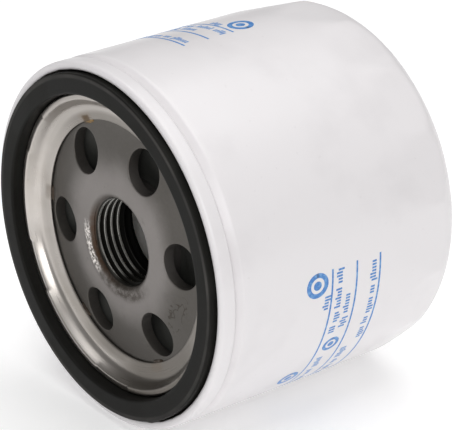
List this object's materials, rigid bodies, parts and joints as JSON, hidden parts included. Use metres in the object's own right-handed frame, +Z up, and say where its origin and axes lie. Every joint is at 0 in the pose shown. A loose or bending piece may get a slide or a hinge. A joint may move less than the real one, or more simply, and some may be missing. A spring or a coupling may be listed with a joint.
{
  "type": "spin-on oil filter",
  "caption": "Spin-on oil filter canister with fluted closed end, rubber face gasket, threaded tapping plate with inlet holes, pleated element and bypass valve.",
  "frame": {"origin": "on the thread's axis, in the plane of the gasket's sealing face", "axes": "+Y along the thread's axis, from the gasket to the closed end; +Z up, with the filter lying on its side; +X to the right as seen from the gasket end"},
  "size_m": [0.076, 0.0645, 0.076],
  "materials": {
    "white_paint": "semi-gloss baked enamel",
    "tinplate": "bright rolled tinplate",
    "seam_compound": "matte sealing lining",
    "oiled_steel": "dark oiled hot-rolled steel",
    "weld_scale": "heat-tinted weld",
    "gasket_rubber": "moulded nitrile, satin",
    "valve_rubber": "moulded nitrile, oiled",
    "cap_steel": "plain tinplate pressing",
    "tube_steel": "plain perforated steel",
    "potting": "cured plastisol",
    "filter_paper": "resin-treated cellulose",
    "spring_steel": "spring steel"
  },
  "bodies": {
    "root": {"canister": "white_paint", "seaming_lid": "tinplate", "seam_sealing_compound": "seam_compound", "tapping_plate": "oiled_steel", "lid_spot_welds": "weld_scale", "sealing_gasket": "gasket_rubber", "front_end_cap": "cap_steel", "rear_end_cap": "cap_steel", "front_potting_ring": "potting", "rear_potting_ring": "potting", "pleated_media": "filter_paper", "media_seam_clip": "cap_steel", "centre_tube": "tube_steel", "bypass_valve_seat": "cap_steel", "bypass_valve_cage": "cap_steel", "bypass_spring": "spring_steel", "element_support_spring": "spring_steel"},
    "bypass_poppet": {"bypass_poppet": "cap_steel", "bypass_poppet_seal": "valve_rubber"},
    "drainback_lip": {"anti_drainback_valve": "valve_rubber"}
  },
  "joints": [
    {"name": "bypass_poppet_slide", "type": "slide", "parent": "root", "child": "bypass_poppet", "axis": [0, -1, 0], "range_m": [0, 0.003], "stiffness_N_per_m": 3000, "springref_m": -0.0045, "deforming": ["bypass_spring"]},
    {"name": "drainback_lip_lift", "type": "slide", "parent": "root", "child": "drainback_lip", "axis": [0, 1, 0], "range_m": [0, 0.0012], "stiffness_N_per_m": 300, "springref_m": -0.0003, "deforming": ["anti_drainback_valve"]}
  ]
}
